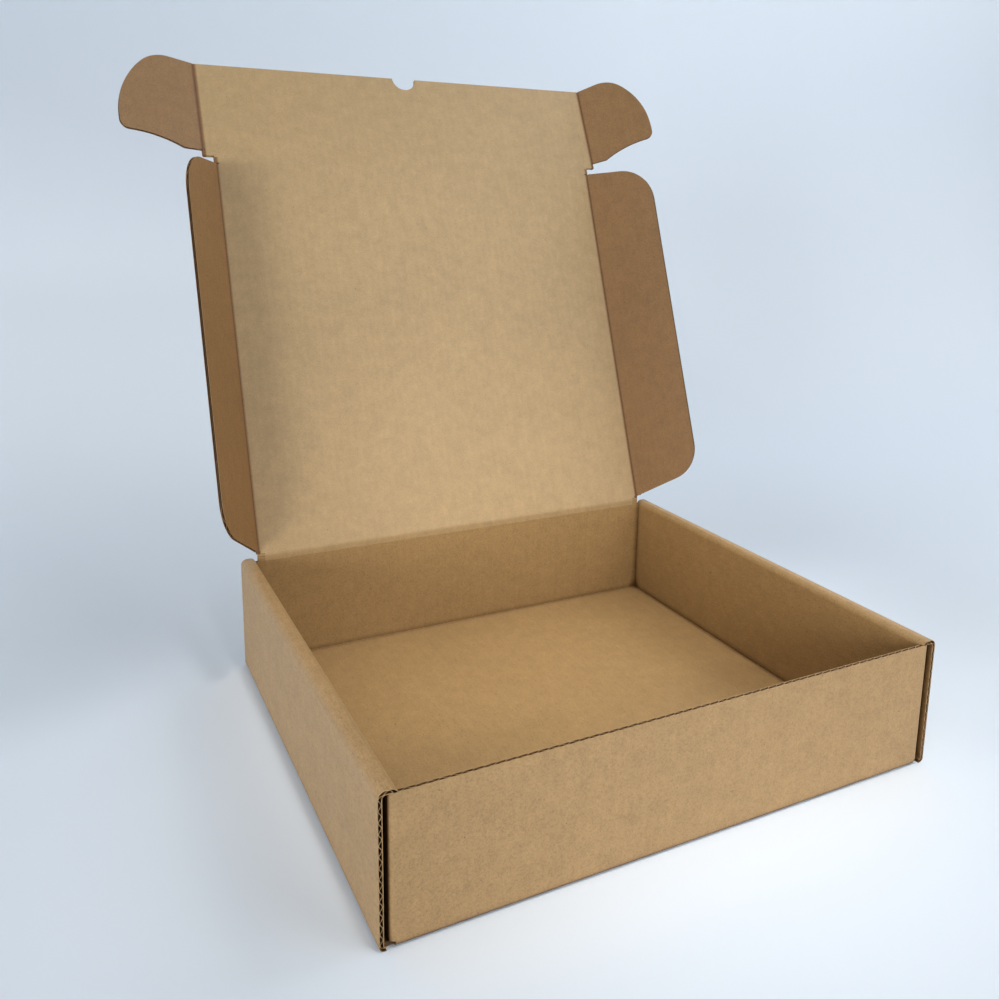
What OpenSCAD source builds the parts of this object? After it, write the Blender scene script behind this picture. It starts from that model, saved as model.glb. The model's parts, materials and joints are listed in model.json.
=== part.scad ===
// Corrugated mailer box: one folded sheet with rolled side walls and an open tuck lid
// Millimetres, +Z up, origin at the middle of the tray's underside, -Y is the front

/* [Board] */
// Thickness of the corrugated board
board_t = 1.4; // [1.2:0.1:1.6]
// Thickness of each flat liner
liner_t = 0.22; // [0.2:0.01:0.3]
// Thickness of the wavy layer between the liners
medium_t = 0.2; // [0.16:0.01:0.26]
// Spacing of the flutes
flute_pitch = 3.29; // [3:0.01:4]

/* [Tray] */
// Width over the side walls
box_w = 204; // [180:1:260]
// Depth over the front and back walls
box_d = 174.5; // [150:0.5:230]
// Height of the rolled side walls
wall_h = 47.2; // [44:0.1:60]
// Outer radius of the roll along the top of each side wall
roll_r = 2.4; // [2:0.1:2.8]
// Outer radius of the other folds of the tray
fold_r = 1.6; // [1.5:0.05:1.8]
// Width of the slot that takes the lid's ears
ear_slot = 1.7; // [1.6:0.05:2]
// Length of the corner flaps inside the side walls
corner_flap = 32; // [20:1:45]
// Width of each locking tab
tab_w = 16; // [10:1:24]
// Distance of the locking tabs from the middle of the side
tab_y = 48; // [30:1:60]

/* [Lid] */
// How far the lid is open, 0 when shut
lid_open = 109.8; // [80:0.1:135]
// Gap left under the tuck flap when the box is shut
tuck_gap = 1.5; // [0.5:0.1:3.5]
// How far the tuck flap is bent towards the inside
tuck_fold = -5.1; // [-8:0.1:20]
// Radius of the thumb notch
notch_r = 5.8; // [4:0.1:9]

/* [Dust flaps] */
// Width of a dust flap
dust_w = 35.2; // [25:0.1:40]
// Setback of a dust flap's outer edge at its back end
dust_back = 9.6; // [5:0.1:14]
// Setback of a dust flap's outer edge at its front end
dust_front = 7.5; // [4:0.1:14]
// Corner radius at the back end
dust_back_r = 16.2; // [8:0.1:17]
// Corner radius at the front end
dust_front_r = 19.9; // [10:0.1:20]
// Fold of the left dust flap
left_dust_fold = 60.3; // [59:0.1:64]
// Fold of the right dust flap
right_dust_fold = 58; // [57:0.1:64]

/* [Ears] */
// Radius of an ear's upper hump
hump_r = 15.4; // [13:0.1:16]
// Distance of the hump's middle from the ear's crease
hump_u = 12.2; // [11:0.1:14]
// Radius of an ear's outer side
ear_side_r = 38.3; // [30:0.1:50]
// Width of an ear
ear_w = 34.6; // [30:0.1:38]
// Radius of an ear's outer corner
ear_corner_r = 3.9; // [2:0.1:6]
// Radius of the hollow low edge of an ear
ear_hollow_r = 51; // [45:1:70]
// Height of the low edge at the ear's outer corner
ear_low = 8.6; // [7:0.1:11]
// Fold of the left ear
left_ear_fold = 13; // [5:0.1:30]
// Fold of the right ear
right_ear_fold = 40.6; // [20:0.1:60]

/* [Hidden] */

kraft = "#B08E60";
kraft_light = "#BBA078";
kraft_dark = "#8A6B45";

// Samples of the wavy layer in each flute, and how far its crests sink into the liners
wave_steps = 8;
wave_bond = 0.04;
// Largest distance between a round outline and its straight pieces
chord_err = 0.02;

// Clearances between the plies of a side wall, and where a panel stands over another
layer_gap = 0.1;
wall_gap = 0.15;
foot_gap = 0.2;
tab_gap = 0.1;
ply_gap = 0.5;
edge_gap = 0.6;
lid_gap = 0.25;
dust_gap = 0.2;
lap = 0.5;
// How far the hinge's bead runs past the lid's side creases, and how far a cut runs past the board
hinge_lap = 0.1;
over = 1;

// A crease is a bead on the carrying panel, in a cup on the panel that swings
half_t = board_t / 2;
bead_r = half_t;
bead_gap = 0.12;
cup_r = bead_r + bead_gap;
// Slopes of the board beside a crease that folds square, and of one that folds flat against its wall
square_wedge = 44;
tight_wedge = 20.5;
// Crushed board between a crease and the first open flute
crush_w = 2.4;

// Plies of a side wall, from the outside inwards, as distances from the middle of the box
side_in = box_w / 2 - board_t;
flap_out = side_in - ear_slot;
inner_out = flap_out - board_t - layer_gap;
inner_in = inner_out - board_t;
end_y = box_d / 2;
end_in = end_y - board_t;
web_z = wall_h - board_t;
end_top = web_z - layer_gap;
flap_top = wall_h - roll_r - layer_gap;
wall_z = board_t + edge_gap;

// The lid closes over the rolls, with its tuck flap in front of the front wall
lid_z = wall_h + lid_gap + half_t;
lid_y = end_y - half_t;
tuck_y = -end_y - lid_gap - half_t;
lid_l = lid_y - tuck_y;
dust_x = inner_in - dust_gap - half_t;
ear_x = (side_in + flap_out) / 2;
hinge_half = dust_x + hinge_lap;

// Dust flap ends, measured from the lid's hinge
dust_start = lid_y - end_in + edge_gap;
dust_end = lid_y + end_in - ply_gap;

// Heights measured down from the shut lid: the tuck flap ends above the bottom panel, the ear's hump
// ends just over it, and the ear starts under the roll
tuck_h = lid_z - board_t - tuck_gap;
hump_v = lid_z - board_t - lid_gap - hump_r;
ear_foot = lid_z - wall_h + roll_r;

// Straight pieces that a bend of this radius and angle takes
function bits(r, a) = max(1, ceil(abs(a) / (2 * acos(1 - min(chord_err / r, 0.2)))));

// Points of an arc about c
function arc(c, r, a0, a1) = let (n = bits(r, a1 - a0))
    [for (i = [0 : n]) let (a = a0 + (a1 - a0) * i / n) [c[0] + r * cos(a), c[1] + r * sin(a)]];

// A route along the middle of a board is a start [x, y, heading] and legs [length, turn, radius]
function bend_l(leg) = leg[2] * abs(leg[1]) * PI / 180;
function route_l(legs, n) = n == 0 ? 0 : legs[n - 1][0] + bend_l(legs[n - 1]) + route_l(legs, n - 1);
function ahead(p, d) = [p[0] + d * cos(p[2]), p[1] + d * sin(p[2]), p[2]];
function beside(p, d) = [p[0] - d * sin(p[2]), p[1] + d * cos(p[2])];
function turned(p, r, a) = let (k = sign(a), c = beside(p, k * r), b = p[2] + a)
    [c[0] + k * r * sin(b), c[1] - k * r * cos(b), b];

// The place and heading at distance s along a route
function along(p, legs, s, i = 0) =
    i == len(legs) ? ahead(p, s) :
    s <= legs[i][0] ? ahead(p, s) :
    let (q = ahead(p, legs[i][0]), rest = s - legs[i][0], whole = bend_l(legs[i]))
    rest < whole ? turned(q, legs[i][2], legs[i][1] * rest / whole) :
    along(turned(q, legs[i][2], legs[i][1]), legs, rest - whole, i + 1);

// The distances at which a liner along a route needs a corner
function stops(legs) = [0, for (i = [0 : len(legs) - 1])
    let (s = route_l(legs, i) + legs[i][0], n = bits(legs[i][2] + half_t, legs[i][1]))
    each legs[i][1] == 0 ? [s] : [for (k = [0 : n]) s + bend_l(legs[i]) * k / n]];

// A ply of board along a route, between two distances to its left
module ply(p, legs, lo, hi) {
    s = stops(legs);
    n = len(s);
    polygon(concat([for (i = [0 : n - 1]) beside(along(p, legs, s[i]), lo)],
        [for (i = [n - 1 : -1 : 0]) beside(along(p, legs, s[i]), hi)]));
}

// The wavy layer, sampled half a step off its crests so that they lie flat on the liners
module wave(p, legs) {
    crest = sin(90 - 180 / wave_steps);
    height = (half_t - liner_t - medium_t / 2 + wave_bond) / crest;
    n = floor(route_l(legs, len(legs)) / flute_pitch * wave_steps);
    s = [for (i = [0 : n - 1]) (i + 0.5) * flute_pitch / wave_steps];
    rise = [for (a = s) height * sin(360 * a / flute_pitch)];
    polygon(concat([for (i = [0 : n - 1]) beside(along(p, legs, s[i]), rise[i] - medium_t / 2)],
        [for (i = [n - 1 : -1 : 0]) beside(along(p, legs, s[i]), rise[i] + medium_t / 2)]));
}

module fluted(p, legs) {
    ply(p, legs, -half_t, -half_t + liner_t);
    ply(p, legs, half_t - liner_t, half_t);
    wave(p, legs);
}

module crushed(p, legs) {
    ply(p, legs, -half_t, half_t);
}

module disc(r) {
    polygon(arc([0, 0], r, 0, 360 - 360 / bits(r, 360)));
}

// A crease end in section: the pivot is the origin, board runs along +X and the inner face is +Y
module crease_end(l, inner, outer) {
    polygon([[0, 0], [half_t / tan(outer), -half_t], [l, -half_t], [l, half_t], [half_t / tan(inner), half_t]]);
}

module bead_end(l, inner, outer) {
    crease_end(l, inner, outer);
    disc(bead_r);
}

module cup_end(l, inner, outer) {
    difference() {
        crease_end(l, inner, outer);
        disc(cup_r);
    }
}

module along_x(l) {
    translate([-l / 2, 0, 0]) rotate([90, 0, 90]) linear_extrude(l) children();
}

module along_y(from, to) {
    translate([0, to, 0]) rotate([90, 0, 0]) linear_extrude(to - from) children();
}

module both_sides() {
    children();
    mirror([1, 0, 0]) children();
}

module both_ends() {
    children();
    mirror([0, 1, 0]) children();
}

// Outer wall, roll and inner wall of the right side, with the locking tabs at the inner wall's foot
module side_wall() {
    mid_r = fold_r - half_t;
    roll_mid = roll_r - half_t;
    rise = wall_h - roll_r - fold_r;
    web = box_w / 2 - inner_in - 2 * roll_r;
    drop = wall_h - roll_r - tab_gap;
    tab_x = inner_in - over;
    difference() {
        along_y(-end_y, end_y) fluted([box_w / 2 - fold_r - lap, half_t, 0],
            [[lap, 90, mid_r], [rise, 90, roll_mid], [web, 90, roll_mid], [drop, 0, 0]]);
        both_ends() translate([tab_x, end_in - wall_gap, -over])
            cube([flap_out - tab_x, board_t + over, web_z + over]);
        for (gap = [[-end_y, -tab_y - tab_w / 2], [-tab_y + tab_w / 2, tab_y - tab_w / 2], [tab_y + tab_w / 2, end_y]])
            translate([tab_x, gap[0], -over])
                cube([inner_out + layer_gap - tab_x, gap[1] - gap[0], over + board_t + foot_gap]);
    }
}

module bottom_panel() {
    x = box_w / 2 - fold_r;
    y = end_y - fold_r;
    difference() {
        translate([-x, -y, 0]) cube([2 * x, 2 * y, board_t]);
        both_sides() both_ends() translate([inner_in - tab_gap, tab_y - tab_w / 2 - tab_gap, -over])
            cube([board_t + 2 * tab_gap, tab_w + 2 * tab_gap, board_t + 2 * over]);
    }
}

// The fold from the bottom panel up into an end wall, at the back
module end_fold() {
    along_x(2 * (flap_out - fold_r)) crushed([end_y - fold_r - lap, half_t, 0],
        [[lap, 90, fold_r - half_t], [wall_z - fold_r, 0, 0]]);
}

// The corner flaps and what lies between them, cut down where they pass inside the rolls
module under_rolls() {
    difference() {
        translate([0, 0, wall_z]) linear_extrude(end_top - wall_z) children();
        both_sides() translate([inner_out, -end_in, flap_top])
            cube([flap_out - inner_out + over, 2 * end_in, end_top]);
    }
}

module front_wall() {
    mid_r = fold_r - half_t;
    flap = corner_flap - fold_r;
    mirror([0, 1, 0]) end_fold();
    under_rolls() fluted([flap_out - half_t, corner_flap - end_y, -90],
        [[flap, -90, mid_r], [2 * (flap_out - fold_r), -90, mid_r], [flap, 0, 0]]);
}

module back_wall() {
    end_fold();
    under_rolls() both_sides() fluted([flap_out - half_t, end_y - corner_flap, 90],
        [[corner_flap - fold_r, 90, fold_r - half_t], [flap_out - fold_r - hinge_half + lap, 0, 0]]);
    translate([-hinge_half, end_in, wall_z - lap]) cube([2 * hinge_half, board_t, end_top - wall_z]);
    translate([0, lid_y, lid_z]) rotate([-90, 0, 0]) along_x(2 * hinge_half)
        bead_end(lid_z - end_top + 2 * lap, square_wedge, square_wedge);
}

module tray() {
    color(kraft) {
        bottom_panel();
        both_sides() side_wall();
        front_wall();
        back_wall();
    }
}

// Frames of the swinging panels: X along the crease or away from it, Y away from the hinge, Z inwards
module in_lid() {
    translate([0, lid_y, lid_z]) rotate([180 - lid_open, 0, 0]) children();
}

module in_tuck() {
    in_lid() translate([0, lid_l, 0]) rotate([tuck_fold, 0, 0]) children();
}

module folded(x, fold) {
    translate([x, 0, 0]) rotate([0, -fold, 0]) children();
}

// Cross-section of a panel between two beads
module beaded(half, wedge) {
    both_sides() translate([half, 0, 0]) mirror([1, 0, 0]) bead_end(half + lap, wedge, 90);
}

module lid() {
    color(kraft_light) in_lid() intersection() {
        along_x(2 * (dust_x + bead_r)) {
            cup_end(lid_l / 2, square_wedge, square_wedge);
            translate([lid_l, 0, 0]) mirror([1, 0, 0]) bead_end(lid_l / 2 + lap, square_wedge, 90);
        }
        along_y(-board_t, lid_l + board_t) beaded(dust_x, tight_wedge);
    }
}

module tuck_flap() {
    open_x = ear_x - crush_w;
    color(kraft_light) in_tuck() difference() {
        union() {
            intersection() {
                along_x(2 * (ear_x + bead_r)) cup_end(crush_w, square_wedge, 90);
                along_y(0, crush_w) beaded(ear_x, square_wedge);
            }
            along_y(crush_w, tuck_h) {
                fluted([-open_x - lap, 0, 0], [[2 * (open_x + lap), 0, 0]]);
                both_sides() translate([ear_x, 0, 0]) mirror([1, 0, 0]) bead_end(crush_w, square_wedge, 90);
            }
        }
        translate([0, tuck_h, -board_t]) linear_extrude(2 * board_t) disc(notch_r);
    }
}

// A flap that swings on a crease along Y, with its flutes along the crease, cut to an outline
module swing_flap(w, l, wedge) {
    intersection() {
        along_y(0, l) {
            cup_end(crush_w, wedge, 90);
            fluted([crush_w - lap, 0, 0], [[w - crush_w + lap, 0, 0]]);
        }
        translate([0, 0, -board_t]) linear_extrude(2 * board_t) children();
    }
}

// Rounds the corner where an outline turns from one direction to another, both as headings
function corner(at, r, in, out) = let (a = (out - in) / 2, c = [
        at[0] + r / cos(a) * cos(in + a + 90),
        at[1] + r / cos(a) * sin(in + a + 90)])
    arc(c, r, in - 90, out - 90);

module dust_outline() {
    back = atan2(dust_back, dust_w);
    front = atan2(dust_front, dust_w);
    polygon(concat([[0, dust_start]],
        corner([dust_w, dust_start + dust_back], dust_back_r, back, 90),
        corner([dust_w, dust_end - dust_front], dust_front_r, 90, 180 - front),
        [[0, dust_end]]));
}

module dust_flap() {
    swing_flap(dust_w, lid_l, tight_wedge) dust_outline();
}

module left_dust_flap() {
    color(kraft_dark) in_lid() mirror([1, 0, 0]) folded(dust_x, left_dust_fold) dust_flap();
}

module right_dust_flap() {
    color(kraft_dark) in_lid() folded(dust_x, right_dust_fold) dust_flap();
}

// A short square foot, the hollow low edge, the outer corner inside the long side arc, which is
// tangent to the hump, and a straight edge from the hump back to the crease
module ear_outline() {
    hump_c = [hump_u, hump_v];
    shoulder = acos((ear_side_r + hump_u - ear_w) / (ear_side_r - hump_r));
    side_c = hump_c - (ear_side_r - hump_r) * [cos(shoulder), sin(shoulder)];
    tip = asin((ear_low + ear_corner_r - side_c[1]) / (ear_side_r - ear_corner_r));
    corner_c = side_c + (ear_side_r - ear_corner_r) * [cos(tip), sin(tip)];
    hollow_c = [corner_c[0], ear_low - ear_hollow_r];
    start = 180 - asin((ear_foot - hollow_c[1]) / ear_hollow_r);
    root = hump_c - [0, tuck_h];
    crest = atan2(root[1], root[0]) + asin(hump_r / norm(root)) + 90;
    polygon(concat([[0, ear_foot]],
        arc(hollow_c, ear_hollow_r, start, 90),
        arc(corner_c, ear_corner_r, -90, tip),
        arc(side_c, ear_side_r, tip, shoulder),
        arc(hump_c, hump_r, shoulder, crest),
        [[0, tuck_h]]));
}

module ear() {
    swing_flap(ear_w, hump_v + hump_r, square_wedge) ear_outline();
}

module left_ear() {
    color(kraft_dark) in_tuck() mirror([1, 0, 0]) folded(ear_x, left_ear_fold) ear();
}

module right_ear() {
    color(kraft_dark) in_tuck() folded(ear_x, right_ear_fold) ear();
}

tray();
lid();
tuck_flap();
left_dust_flap();
right_dust_flap();
left_ear();
right_ear();
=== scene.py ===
# %% [markdown]
# A plain corrugated mailer box, open, on a pale studio floor.
# The box comes in as a finished frame: every panel, crease and flute is a solid from the CAD model.
# This lesson gives it the look of brown kraft board, closes the thin lines at its creases,
# and lights it softly.
# %% Load the frame
import json
import math
import bpy
from mathutils import Matrix, Vector

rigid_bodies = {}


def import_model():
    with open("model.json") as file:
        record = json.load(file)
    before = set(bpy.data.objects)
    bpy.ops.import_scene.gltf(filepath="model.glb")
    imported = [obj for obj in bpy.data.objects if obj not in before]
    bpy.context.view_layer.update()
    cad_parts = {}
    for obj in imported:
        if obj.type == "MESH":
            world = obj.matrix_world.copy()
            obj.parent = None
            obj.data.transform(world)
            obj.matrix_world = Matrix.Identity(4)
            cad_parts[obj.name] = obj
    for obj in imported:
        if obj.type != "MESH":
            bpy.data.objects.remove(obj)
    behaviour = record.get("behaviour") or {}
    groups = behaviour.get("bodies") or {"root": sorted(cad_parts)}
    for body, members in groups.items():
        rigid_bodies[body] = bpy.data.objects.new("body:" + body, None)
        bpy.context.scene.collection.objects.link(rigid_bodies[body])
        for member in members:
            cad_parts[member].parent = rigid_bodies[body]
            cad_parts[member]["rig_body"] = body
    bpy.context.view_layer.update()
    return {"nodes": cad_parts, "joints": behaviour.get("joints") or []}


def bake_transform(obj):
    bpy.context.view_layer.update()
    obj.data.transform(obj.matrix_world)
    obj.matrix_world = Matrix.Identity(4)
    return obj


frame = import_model()
nodes = frame["nodes"]
print("panels:", sorted(nodes))

# %% [markdown]
# A camera is the first thing to settle, because it decides which detail can be seen.
# The photograph was taken by hand, a little to the left of the box and above it, and then cropped.
# A crop moves the middle of the picture, and a camera's shift does the same.
# Places are written in millimetres and angles in degrees, as one would measure them in a studio.
# %% Camera
MM = 0.001
camera_place = Vector((-169.39, -291.51, 193.53)) * MM
camera_side = 26.513
camera_down = 11.205
camera_roll = 0.754
film_width = 36
focal_length = 33.751
crop_across = -0.00451
crop_up = -0.10859
nearest_seen = 0.01


def turn(degrees, axis):
    return Matrix.Rotation(math.radians(degrees), 4, axis)


camera_data = bpy.data.cameras.new("camera")
camera_data.sensor_width = film_width
camera_data.lens = focal_length
camera_data.shift_x = crop_across
camera_data.shift_y = crop_up
camera_data.clip_start = nearest_seen
camera = bpy.data.objects.new("camera", camera_data)
bpy.context.scene.collection.objects.link(camera)
camera.matrix_world = (
    Matrix.Translation(camera_place)
    @ turn(-camera_side, "Z")
    @ turn(90 - camera_down, "X")
    @ turn(camera_roll, "Z")
)
bpy.context.scene.camera = camera
print("camera", round(camera_place.length, 3), "m from the middle of the tray's underside")

# %% [markdown]
# An edit-mode operator works on what is selected, so the selection is half of each modelling step.
# Instead of picking by hand, a test is asked of every vertex, edge or face, and those that pass are selected.
# A test about where something is still holds when an earlier step gives the mesh other numbers.
# %% Choose what to edit
def clear_selection():
    if bpy.context.mode != "OBJECT":
        bpy.ops.object.mode_set(mode="OBJECT")
    bpy.ops.object.select_all(action="DESELECT")


def choose(mesh_object, kind, test):
    """Selects the vertices, edges or faces that pass a test, and leaves the object in edit mode."""
    bpy.ops.object.mode_set(mode="EDIT")
    bpy.ops.mesh.select_mode(type=kind)
    bpy.ops.mesh.select_all(action="DESELECT")
    bpy.ops.object.mode_set(mode="OBJECT")
    mesh = mesh_object.data
    parts = {"VERT": mesh.vertices, "EDGE": mesh.edges, "FACE": mesh.polygons}[kind]
    for part in parts:
        part.select = test(part)
    bpy.ops.object.mode_set(mode="EDIT")


# %% [markdown]
# The studio is a pale floor that runs up into a wall behind, like a sheet of paper hung on a stand.
# One plane is enough: its back edge is extruded upwards, and the fold between floor and wall
# is bevelled round.
# %% Floor and backdrop
floor_size = 3.0
wall_y = 0.62
wall_height = 1.6
cove_radius = 0.35
cove_steps = 24
near_enough = 1e-4

clear_selection()
bpy.ops.mesh.primitive_plane_add(size=floor_size, location=(0, wall_y - floor_size / 2, 0))
backdrop = bpy.context.object
backdrop.name = "backdrop"
bpy.ops.object.transform_apply(location=True)


def ends(edge):
    return [backdrop.data.vertices[v].co for v in edge.vertices]


def at_wall(edge):
    return all(abs(end.y - wall_y) < near_enough for end in ends(edge))


def at_wall_foot(edge):
    return at_wall(edge) and all(abs(end.z) < near_enough for end in ends(edge))


choose(backdrop, "EDGE", at_wall)
bpy.ops.mesh.extrude_region_move(TRANSFORM_OT_translate={"value": (0, 0, wall_height)})
choose(backdrop, "EDGE", at_wall_foot)
bpy.ops.mesh.bevel(offset=cove_radius, segments=cove_steps)
clear_selection()
for face in backdrop.data.polygons:
    face.use_smooth = True
print("backdrop", len(backdrop.data.polygons), "faces")

# %% [markdown]
# Colours are easiest to read as the hex values that a picture editor shows.
# Blender's shaders want linear light, so one function turns the one into the other.
# A second small function adds a shader node, because a node tree is the same few steps over and over:
# make a node, set what it does, and link or fill its sockets.
# %% Colour and node helpers
def srgb(hex_value):
    """Linear RGBA of a colour written as #RRGGBB."""
    parts = [int(hex_value[i : i + 2], 16) / 255 for i in (1, 3, 5)]
    linear = [p / 12.92 if p <= 0.04045 else ((p + 0.055) / 1.055) ** 2.4 for p in parts]
    return (*linear, 1.0)


def add(tree, kind, sockets=None, **settings):
    """Adds a node, sets its properties, then its sockets: an output is linked, anything else is a value."""
    made = tree.nodes.new(kind)
    for name, value in settings.items():
        setattr(made, name, value)
    for name, value in (sockets or {}).items():
        if isinstance(value, bpy.types.NodeSocket):
            tree.links.new(value, made.inputs[name])
        else:
            made.inputs[name].default_value = value
    return made


def maths(tree, operation, *values):
    return add(tree, "ShaderNodeMath", dict(enumerate(values)), operation=operation).outputs[0]


def new_material(name):
    material = bpy.data.materials.new(name)
    material.use_nodes = True
    material.node_tree.nodes.clear()
    return material, material.node_tree


def finish_material(tree, shader):
    add(tree, "ShaderNodeOutputMaterial", {"Surface": shader.outputs[0]})


print("middle grey is", round(srgb("#808080")[0], 3), "in linear light")

# %% [markdown]
# The floor is matt white paper with a faint blue cast.
# Its colour alone makes the background pale, so the lamps stay at a plain level and the box keeps its brown.
# Above the floor the paper fades darker towards the left: a painted shade where the room's light falls off.
# %% Backdrop material
paper_white = "#E9F2FB"
# The second paper colour is painted shade, for the light falling off on the left.
paper_painted_shade = "#CFD8E2"
shade_until_x = -0.2
white_from_x = 0.45
shade_above_z = 0.3
paper_roughness = 0.9
paper_shine = 0.2

backdrop_material, tree = new_material("matt_white_backdrop_paper")
paper_place = add(tree, "ShaderNodeSeparateXYZ", {0: add(tree, "ShaderNodeTexCoord").outputs["Object"]})
rightwards = add(
    tree,
    "ShaderNodeMapRange",
    {"Value": paper_place.outputs["X"], "From Min": shade_until_x, "From Max": white_from_x},
).outputs["Result"]
near_floor = add(
    tree,
    "ShaderNodeMapRange",
    {"Value": paper_place.outputs["Z"], "From Min": shade_above_z, "From Max": 0.0},
).outputs["Result"]
light_share = maths(tree, "MAXIMUM", rightwards, near_floor)
paper_colour = add(
    tree,
    "ShaderNodeMix",
    {0: light_share, 6: srgb(paper_painted_shade), 7: srgb(paper_white)},
    data_type="RGBA",
).outputs[2]
backdrop_shader = add(
    tree,
    "ShaderNodeBsdfPrincipled",
    {"Base Color": paper_colour, "Roughness": paper_roughness, "Specular IOR Level": paper_shine},
)
finish_material(tree, backdrop_shader)
backdrop.data.materials.append(backdrop_material)
print("backdrop fades from", paper_white, "to", paper_painted_shade)

# %% [markdown]
# Board is a pattern laid over a pattern, so a few more helpers come first.
# A ramp turns a number into a shade, noise makes blobs of a known size,
# and multiply lays one shade over another.
# The patterns are worked out from a place in millimetres, so their sizes can be read off a real sheet.
# %% Pattern helpers
def vectors(tree, operation, *values):
    """The result of a vector node: a number for a dot product or a length, and a vector otherwise."""
    made = add(tree, "ShaderNodeVectorMath", dict(enumerate(values)), operation=operation)
    return made.outputs["Value" if operation in ("DOT_PRODUCT", "LENGTH") else "Vector"]


def mapped(tree, place, **sockets):
    return add(tree, "ShaderNodeMapping", {"Vector": place, **sockets}).outputs["Vector"]


def grey(level):
    return (level, level, level, 1.0)


def ramp(tree, factor, stops):
    """A colour ramp between (position, colour) stops."""
    made = add(tree, "ShaderNodeValToRGB", {"Fac": factor})
    bar = made.color_ramp.elements
    while len(bar) < len(stops):
        bar.new(0.5)
    for element, (place, colour) in zip(bar, stops):
        element.position = place
        element.color = colour
    return made.outputs["Color"]


def noise(tree, place, size, detail, roughness=0.55):
    """Noise whose blobs are about size across, in the units of place."""
    made = add(
        tree,
        "ShaderNodeTexNoise",
        {"Vector": place, "Scale": 1 / size, "Detail": detail, "Roughness": roughness},
        noise_dimensions="3D",
    )
    return made.outputs["Fac"]


def multiply(tree, colour, by, amount=1.0):
    """Colour times by, where amount is 1. A colour mix has its factor at 0 and its colours at 6 and 7."""
    made = add(
        tree,
        "ShaderNodeMix",
        {0: amount, 6: colour, 7: by},
        data_type="RGBA",
        blend_type="MULTIPLY",
    )
    return made.outputs[2]


print("a shade of 0.5 is", grey(0.5))

# %% [markdown]
# Kraft liner is unbleached softwood pulp, drained on a wire and pressed.
# Up close it has soft clouds where the pulp lay thicker, and a fine salt and pepper of fibres.
# Noise gives both. Stretched along one direction it looks like fibres,
# so three layers of it are turned three ways.
# A real fibre is 0.03 mm wide, too fine to show from here, so fibres are drawn about 0.3 mm wide.
# %% Pulp
cloud_size = 5.0
fleck_size = 0.7
drift_size = 70.0
fibre_width = 0.3
fibre_length = 2.4
fibre_layers = (((0.4, 0.3, 0.9), 0.78), ((1.1, 0.8, -0.7), 0.86), ((-0.5, 1.3, 2.2), 1.15))
cloud_stops = [(0.3, grey(0.91)), (0.7, grey(1.06))]
fleck_stops = [(0.25, grey(0.78)), (0.5, grey(1.0)), (0.78, grey(1.15))]
drift_stops = [(0.3, grey(0.96)), (0.7, grey(1.04))]
fibre_edges = (0.6, 0.72)


def pulp(tree, place, grain):
    """The pulp's shade and its height. Grain is how much of the flecks and fibres shows in the shade."""
    clouds = noise(tree, place, cloud_size, detail=4.0, roughness=0.6)
    flecks = noise(tree, place, fleck_size, detail=2.0, roughness=0.7)
    drift = noise(tree, place, drift_size, detail=2.0)
    shade = ramp(tree, clouds, cloud_stops)
    shade = multiply(tree, shade, ramp(tree, flecks, fleck_stops), grain)
    shade = multiply(tree, shade, ramp(tree, drift, drift_stops))
    layers = []
    for turned, fibre_shade in fibre_layers:
        stretched = mapped(tree, place, Rotation=turned, Scale=(1.0, fibre_width / fibre_length, 1.0))
        layers.append(noise(tree, stretched, fibre_width, detail=1.0))
        stops = list(zip(fibre_edges, (grey(1.0), grey(fibre_shade))))
        shade = multiply(tree, shade, ramp(tree, layers[-1], stops), grain)
    return shade, maths(tree, "ADD", flecks, layers[0])


print("fibres", fibre_width, "by", fibre_length, "mm, flecks", fleck_size, "mm, clouds", cloud_size, "mm")

# %% [markdown]
# A few dark slivers of bark are left in the pulp.
# They are small and far apart, and that is a Voronoi pattern: each cell has one point,
# and only what lies very near the point is dark. A squeeze along one direction makes slivers of the dots.
# %% Slivers of bark
sliver_spacing = 9.0
sliver_turn = (0.2, 0.5, 0.4)
sliver_squeeze = (1.0, 0.35, 1.0)
sliver_stops = [(0.02, grey(0.55)), (0.035, grey(1.0))]


def bark(tree, place):
    squeezed = mapped(tree, place, Rotation=sliver_turn, Scale=sliver_squeeze)
    cells = add(
        tree,
        "ShaderNodeTexVoronoi",
        {"Vector": squeezed, "Scale": 1 / sliver_spacing, "Randomness": 1.0},
        feature="F1",
    )
    return ramp(tree, cells.outputs["Distance"], sliver_stops)


print("slivers of bark about", sliver_spacing, "mm apart")

# %% [markdown]
# The flutes under the thin liner show as faint straight lines,
# one for each wave of the paper between the liners.
# A sine of the distance across the flutes draws them, with the flute's own pitch.
# On the tray's side walls the flutes run another way than on the rest of the tray, so a face that looks
# more than 0.6 of the way along X takes its lines from a second direction.
# %% Flute lines
flute_pitch = 3.29
sideways_enough = 0.6


def flute_wave(tree, place, direction):
    run = vectors(tree, "DOT_PRODUCT", place, direction)
    return maths(tree, "SINE", maths(tree, "MULTIPLY", run, 2 * math.pi / flute_pitch))


def flute_lines(tree, place, normal, across, across_sides):
    lines = flute_wave(tree, place, across)
    if across_sides is None:
        return lines
    facing = add(tree, "ShaderNodeSeparateXYZ", {0: normal}).outputs["X"]
    sideways = maths(tree, "GREATER_THAN", maths(tree, "ABSOLUTE", facing), sideways_enough)
    return add(
        tree,
        "ShaderNodeMix",
        {"Factor": sideways, "A": lines, "B": flute_wave(tree, place, across_sides)},
        data_type="FLOAT",
    ).outputs["Result"]


print("flutes", flute_pitch, "mm apart")
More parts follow.
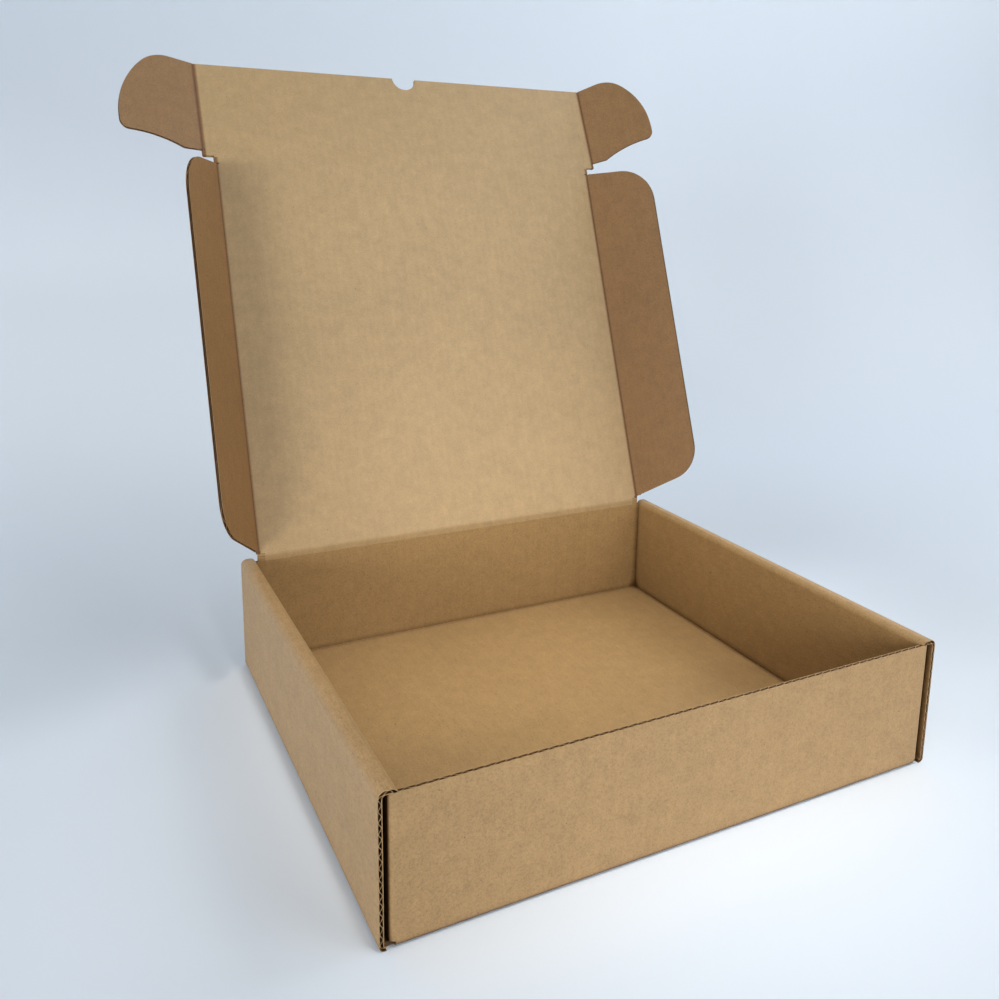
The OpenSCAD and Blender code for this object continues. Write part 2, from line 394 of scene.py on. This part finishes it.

# %% [markdown]
# The tray's inside is given a slightly deeper brown than its outside, as painted shade for the dimmer light
# inside the tray.
# Both are faces of one solid, so the shader has to tell them apart. On an outer wall the normal points
# the same way as the line from the middle of the box to the wall, and on an inner wall it points back.
# A dot product of the two says which. Height counts from the floor, so the floor panel has an inside too.
# %% Inside and outside
tray_reach = 80.0
floor_reach = 10.0
furthest = (10, 10, 0)
inside_until = 0.1
outside_from = 0.45


# Faces that look into the tray take the deeper inside colour, a painted shade.
def liner_colour(tree, place, normal, hex_value, inside_hex):
    if inside_hex is None:
        return srgb(hex_value)
    scale = (1 / tray_reach, 1 / tray_reach, 1 / floor_reach)
    from_middle = vectors(tree, "MINIMUM", mapped(tree, place, Location=(0, 0, -1), Scale=scale), furthest)
    outwards = maths(tree, "ADD", vectors(tree, "DOT_PRODUCT", from_middle, normal), 0.5)
    return ramp(tree, outwards, [(inside_until, srgb(inside_hex)), (outside_from, srgb(hex_value))])


print("a tray wall counts as far out at", tray_reach, "mm from the middle")

# %% [markdown]
# Where board is creased, the liner is crushed, and on the inside of the fold shade gathers: a dark line about
# 2 mm wide is painted for both, part crushed liner and part painted shade. The joint's own axis is the
# crease, so its distance from a point gives the line, and no image has to be drawn.
# In a fold or an open flute little light gets in, and what does is browner each time it bounces.
# An ambient occlusion node measures how closed-in a point is, and a ramp of browns answers it.
# %% Creases and folds
# The crease line is part crushed liner and part painted shade inside the fold.
crease_width = 2.0
crease_shade_brown = (0.42, 0.26, 0.13, 1.0)
crease_shade_stops = [(0.4, crease_shade_brown), (0.8, grey(1.0))]
inwards = Vector((0, -1, 0))
facing_enough = 0.1
fold_reach = 5.0
fold_samples = 6


def shade_brown(level):
    """A shade whose blue goes first, as it does in a fold of brown board."""
    return (level, level**1.25, level**1.6, 1.0)


fold_stops = [
    (0.05, shade_brown(0.15)),
    (0.5, shade_brown(0.42)),
    (0.66, shade_brown(0.92)),
    (0.8, grey(1.0)),
]


def crease_line(tree, colour, place, normal, joint):
    """Darkens a colour along a joint's axis, on the faces that look into the box: partly crushed liner,
    partly painted shade.
    """
    arm = vectors(tree, "SUBTRACT", place, Vector(joint["pos_m"]) / MM)
    arm = vectors(tree, "CROSS_PRODUCT", arm, Vector(joint["axis"]))
    distance = maths(tree, "DIVIDE", vectors(tree, "LENGTH", arm), crease_width)
    facing = vectors(tree, "DOT_PRODUCT", normal, inwards)
    facing = maths(tree, "GREATER_THAN", facing, facing_enough)
    return multiply(tree, colour, ramp(tree, distance, crease_shade_stops), facing)


def fold_shade(tree):
    closeness = add(
        tree,
        "ShaderNodeAmbientOcclusion",
        {"Distance": fold_reach * MM},
        samples=fold_samples,
    )
    return ramp(tree, closeness.outputs["AO"], fold_stops)


print("creases", crease_width, "mm wide, folds darken within", fold_reach, "mm")

# %% [markdown]
# Now the patterns go together into one material: pulp, flute lines and bark over the liner's colour,
# then the creases and folds. The flecks, the fibres and the flutes also stand up a little, as a bump.
# Kraft liner is smooth from the press but not glossy, so its shine is broad and weak.
# %% Kraft board material
flute_shade = 0.012
flute_bump = 0.12
bump_strength = 0.35
bump_height = 0.06
board_roughness = 0.5
board_shine = 0.4


def kraft(name, hex_value, across, creases=(), across_sides=None, inside_hex=None, grain=1.0):
    """Kraft liner whose flutes are spaced along across, or along across_sides on faces that look along X.

    creases are the joints whose folds show as a painted dark line of shade, and inside_hex is the colour of
    the faces that look into the tray, a deeper brown painted as shade. grain is how much of the flecks and
    fibres shows.
    """
    material, tree = new_material(name)
    coordinates = add(tree, "ShaderNodeTexCoord")
    normal = coordinates.outputs["Normal"]
    place = mapped(tree, coordinates.outputs["Object"], Scale=(1 / MM, 1 / MM, 1 / MM))

    shade, height = pulp(tree, place, grain)
    lines = flute_lines(tree, place, normal, across, across_sides)
    shade = multiply(tree, shade, maths(tree, "MULTIPLY_ADD", lines, flute_shade, 1.0))
    shade = multiply(tree, shade, bark(tree, place))
    colour = multiply(tree, liner_colour(tree, place, normal, hex_value, inside_hex), shade)
    for joint in creases:
        colour = crease_line(tree, colour, place, normal, joint)
    colour = multiply(tree, colour, fold_shade(tree))

    height = maths(tree, "MULTIPLY_ADD", lines, flute_bump, height)
    bump = add(
        tree,
        "ShaderNodeBump",
        {"Height": height, "Strength": bump_strength, "Distance": bump_height * MM},
    )
    shader = add(
        tree,
        "ShaderNodeBsdfPrincipled",
        {
            "Base Color": colour,
            "Roughness": board_roughness,
            "Specular IOR Level": board_shine,
            "Normal": bump.outputs["Normal"],
        },
    )
    finish_material(tree, shader)
    print(name, len(tree.nodes), "nodes")
    return material


# %% [markdown]
# One sheet of board made the whole box, so every panel gets the same kind of material.
# Two things differ. The direction of the flutes does, because the flaps are turned in space:
# a swinging flap's crease runs along its flutes, and the joint's axis in the record is that crease.
# And the browns do a little: the lid is painted paler, as painted light and sheen, and is smoother than the
# tray, and the small flaps are deeper, as painted shade.
# %% Dress the panels
# The lid's paler brown is painted light and sheen, and the deeper browns of the inside and the small flaps
# are painted shade.
kraft_lid_painted_light = "#AE9268"
kraft_outside = "#A8875B"
kraft_inside_shaded = "#A28255"
kraft_flaps_painted_shade = "#8A673E"
lid_grain = 0.6
along_x = Vector((1, 0, 0))
along_z = Vector((0, 0, 1))
joints = {joint["name"]: joint for joint in frame["joints"]}
dust_joints = [joints["left_dust_hinge"], joints["right_dust_hinge"]]
ear_joints = [joints["left_ear_hinge"], joints["right_ear_hinge"]]


def panel_normal(node):
    """The direction that a flat panel's largest face looks along."""
    largest = max(node.data.polygons, key=lambda face: face.area)
    return largest.normal.copy()


def across_flutes(node, joint):
    return panel_normal(node).cross(Vector(joint["axis"])).normalized()


def dress(node, material):
    node.data.materials.clear()
    node.data.materials.append(material)


dress(
    nodes["tray"],
    kraft("kraft_board_tray", kraft_outside, along_x, across_sides=along_z, inside_hex=kraft_inside_shaded),
)
dress(nodes["lid"], kraft("kraft_board_lid", kraft_lid_painted_light, along_x, dust_joints, grain=lid_grain))
dress(nodes["tuck_flap"], kraft("kraft_board_tuck_flap", kraft_lid_painted_light, along_x, ear_joints, grain=lid_grain))
for side in ("left", "right"):
    for part, hinge in (("dust_flap", "dust_hinge"), ("ear", "ear_hinge")):
        flap = nodes[f"{side}_{part}"]
        joint = joints[f"{side}_{hinge}"]
        dress(flap, kraft(f"kraft_board_{side}_{part}", kraft_flaps_painted_shade, across_flutes(flap, joint), [joint]))
print("dressed", len(nodes), "panels")

# %% [markdown]
# A crease is pressed into the board, and the liner runs over it unbroken.
# The CAD model has each crease as a bead in a cup, because a joint needs two pieces,
# so it shows as a pair of lines. A strip of liner over each crease, inside and outside, closes those lines.
# To place one, three things are measured: which way each of the two panels faces,
# which way it leads off from the crease, and how far the board runs along the crease.
# %% Measure the creases
root_reach = 1.5


def panel_frame(body, joint):
    """The node of a body, its inward normal, and the direction from the joint's axis into its panel."""
    node = next(node for node in nodes.values() if node["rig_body"] == body)
    if body == "tray":
        return node, inwards, Vector((0, 0, -1))
    normal = panel_normal(node)
    if normal.dot(inwards) < 0:
        normal = -normal
    into = normal.cross(Vector(joint["axis"])).normalized()
    corners = [Vector(corner) for corner in node.bound_box]
    middle_of_panel = sum(corners, Vector()) / len(corners)
    if into.dot(middle_of_panel - Vector(joint["pos_m"])) < 0:
        into = -into
    return node, normal, into


def run_at_crease(node, joint):
    """The stretch of the joint's axis that a node's board reaches."""
    axis = Vector(joint["axis"])
    arms = [vertex.co - Vector(joint["pos_m"]) for vertex in node.data.vertices]
    along = [arm.dot(axis) for arm in arms if arm.cross(axis).length < root_reach * MM]
    return min(along), max(along)


for joint in frame["joints"]:
    first, last = run_at_crease(panel_frame(joint["child"], joint)[0], joint)
    print(joint["name"], "runs for", round((last - first) / MM, 1), "mm")

# %% [markdown]
# Seen from its end, a strip is a short row of points: over the panel that stays, past the crease, and over
# the panel that swings. Its surface lies 0.03 mm above the board and its ends run into the board,
# so that no rim shows. The strip at the lid's hinge stops short at both ends,
# because the dust flaps pass there when the box is closed.
# %% Outline of a crease liner
strip_steps = ((2.6, 0.69), (2.0, 0.73), (1.3, 0.73), (0.7, 0.73))
strip_end_gap = 0.3
lid_strip_end_gap = 3.5


def strip_outline(joint, side):
    """The points across a strip, in the middle of its length, and that length as a vector."""
    origin = Vector(joint["pos_m"])
    axis = Vector(joint["axis"])
    still, still_normal, still_way = panel_frame(joint["parent"], joint)
    swinging, swinging_normal, swinging_way = panel_frame(joint["child"], joint)
    still_normal = still_normal * side
    swinging_normal = swinging_normal * side

    runs = [run_at_crease(still, joint), run_at_crease(swinging, joint)]
    gap = lid_strip_end_gap if joint["child"] == "lid" else strip_end_gap
    start = max(run[0] for run in runs) + gap * MM
    end = min(run[1] for run in runs) - gap * MM
    centre = origin + axis * (start + end) / 2

    lift = strip_steps[-1][1]
    top = (still_normal + swinging_normal).normalized()
    if still_normal.dot(swinging_way) > 0:
        lift = lift / top.dot(still_normal)
    points = [centre + (still_way * out + still_normal * up) * MM for out, up in strip_steps]
    points.append(centre + top * lift * MM)
    for out, up in reversed(strip_steps):
        points.append(centre + (swinging_way * out + swinging_normal * up) * MM)
    return points, axis * (end - start)


print("a strip has", 2 * len(strip_steps) + 1, "points across")

# %% [markdown]
# A strip starts as a narrow plane on the panel that stays, and its front edge is extruded from point to
# point. Solidify gives it the thickness of a liner.
# %% Crease liners
strip_thickness = 0.1
smooth_below = 50
on_front_edge = 1e-6


def crease_liner(joint, side):
    """A strip over a crease: side is 1 on the inside of the box and -1 on the outside."""
    origin = Vector(joint["pos_m"])
    still, still_normal, still_way = panel_frame(joint["parent"], joint)
    swinging, _, swinging_way = panel_frame(joint["child"], joint)
    points, length = strip_outline(joint, side)

    clear_selection()
    bpy.ops.mesh.primitive_plane_add(size=1)
    strip = bpy.context.object
    strip.name = joint["name"].replace("hinge", "crease_liner_inside" if side > 0 else "crease_liner_outside")
    step = points[1] - points[0]
    across = step.normalized()
    upwards = Vector(joint["axis"]).cross(across)
    place = Matrix((length, step, upwards)).transposed().to_4x4()
    place.translation = (points[0] + points[1]) / 2
    strip.matrix_world = place
    bpy.ops.object.transform_apply()

    def at_front_edge(edge):
        arms = [strip.data.vertices[v].co - points[1] for v in edge.vertices]
        return all(arm.dot(across) > -on_front_edge for arm in arms)

    choose(strip, "EDGE", at_front_edge)
    for before, after in zip(points[1:], points[2:]):
        bpy.ops.mesh.extrude_region_move(TRANSFORM_OT_translate={"value": after - before})
    bpy.ops.mesh.select_all(action="SELECT")
    bpy.ops.object.mode_set(mode="OBJECT")
    if strip.data.polygons[0].normal.dot(still_normal * side) < 0:
        strip.data.flip_normals()
    solidify = strip.modifiers.new("liner", "SOLIDIFY")
    solidify.thickness = strip_thickness * MM
    solidify.offset = -1
    bpy.ops.object.modifier_apply(modifier=solidify.name)
    bpy.ops.object.shade_smooth_by_angle(angle=math.radians(smooth_below))

    strip.data.materials.append(still.data.materials[0])
    strip.data.materials.append(swinging.data.materials[0])
    for face in strip.data.polygons:
        arm = face.center - origin
        face.material_index = int(joint["child"] == "lid" or arm.dot(swinging_way - still_way) > 0)
    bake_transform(strip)
    return strip


liners = [crease_liner(joint, side) for joint in frame["joints"] for side in (1, -1)]
print("crease liners", [liner.name for liner in liners])

# %% [markdown]
# The world is the light of the room, a little of it from all round, so that no shadow is black.
# Where a camera or a shine sees the world past the paper's edges, it has to be as pale as the paper,
# so the light path decides between two strengths.
# %% Light of the room
sky_light = 0.12
sky_seen = 0.8
world = bpy.data.worlds.new("studio")
bpy.context.scene.world = world
world.use_nodes = True
world.node_tree.nodes.clear()
sky_tree = world.node_tree
rays = add(sky_tree, "ShaderNodeLightPath").outputs
seen = maths(sky_tree, "MAXIMUM", rays["Is Camera Ray"], rays["Is Glossy Ray"])
seen = maths(sky_tree, "MAXIMUM", seen, rays["Is Transmission Ray"])
strength = add(
    sky_tree,
    "ShaderNodeMapRange",
    {"Value": seen, "To Min": sky_light, "To Max": sky_seen},
).outputs["Result"]
sky = add(sky_tree, "ShaderNodeBackground", {"Color": srgb(paper_white), "Strength": strength})
add(sky_tree, "ShaderNodeOutputWorld", {"Surface": sky.outputs[0]})
print("the room gives", sky_light, "and is seen at", sky_seen)

# %% [markdown]
# The light in the photograph is soft and comes from all round, so the shadows on the floor are faint.
# Large square lamps on every side but the back give that.
# A smaller one stands low on the left, as a window does.
# From so low, the tray's left wall keeps it off the floor of the tray, but it lights the lid,
# and the left dust flap throws a soft shadow there. Each lamp has its watts, its size and its place.
# %% Soft boxes
middle_of_box = (0, 0, 0.12)
soft_boxes = {
    "window": (10.0, 0.4, (-1.2, -0.8, 0.22)),
    "front": (1.1, 0.8, (0.0, -1.4, 0.6)),
    "front_right_low": (2.3, 0.8, (0.9, -1.1, 0.4)),
    "front_right_high": (4.9, 0.8, (0.7, -0.8, 1.2)),
    "left_high": (3.9, 0.8, (-1.1, 0.0, 1.2)),
    "right_high": (6.7, 0.8, (1.1, 0.0, 1.2)),
}


def lamp(name, kind, watts, place, aim):
    """A white lamp that looks from place to aim."""
    data = bpy.data.lights.new(name, kind)
    data.energy = watts
    made = bpy.data.objects.new(name, data)
    bpy.context.scene.collection.objects.link(made)
    made.location = place
    made.rotation_mode = "QUATERNION"
    made.rotation_quaternion = (Vector(aim) - Vector(place)).to_track_quat("-Z", "Y")
    return data


for name, (watts, size, place) in soft_boxes.items():
    box = lamp(name, "AREA", watts, place, middle_of_box)
    box.shape = "SQUARE"
    box.size = size
print("soft boxes", len(soft_boxes))

# %% [markdown]
# Three spots lift what the soft boxes leave too flat: the lid, the tray's floor and its back wall.
# Their cones are narrow and fade to the rim, so no edge of light shows.
# Each has its watts, the spread of its cone in degrees, its place and what it is aimed at.
# %% Spots
spots = {
    "lid_spot": (11.6, 15, (0.4, -0.93, 0.56), (0, 0.12, 0.17)),
    "tray_spot": (60.0, 12, (0.05, -0.2, 1.3), (0.022, 0, 0)),
    "back_wall_spot": (72.0, 7, (0.05, -1.0, 0.56), (0.02, 0.085, -0.02)),
}
spot_fade = 1.0
spot_radius = 0.12
for name, (watts, spread, place, aim) in spots.items():
    spot = lamp(name, "SPOT", watts, place, aim)
    spot.spot_size = math.radians(spread)
    spot.spot_blend = spot_fade
    spot.shadow_soft_size = spot_radius
print("spots", len(spots))

# %% [markdown]
# The Standard view shows colours as they are, without a film's curve, so the hex values above can be trusted.
# %% Finish
scene = bpy.context.scene
scene.view_settings.view_transform = "Standard"
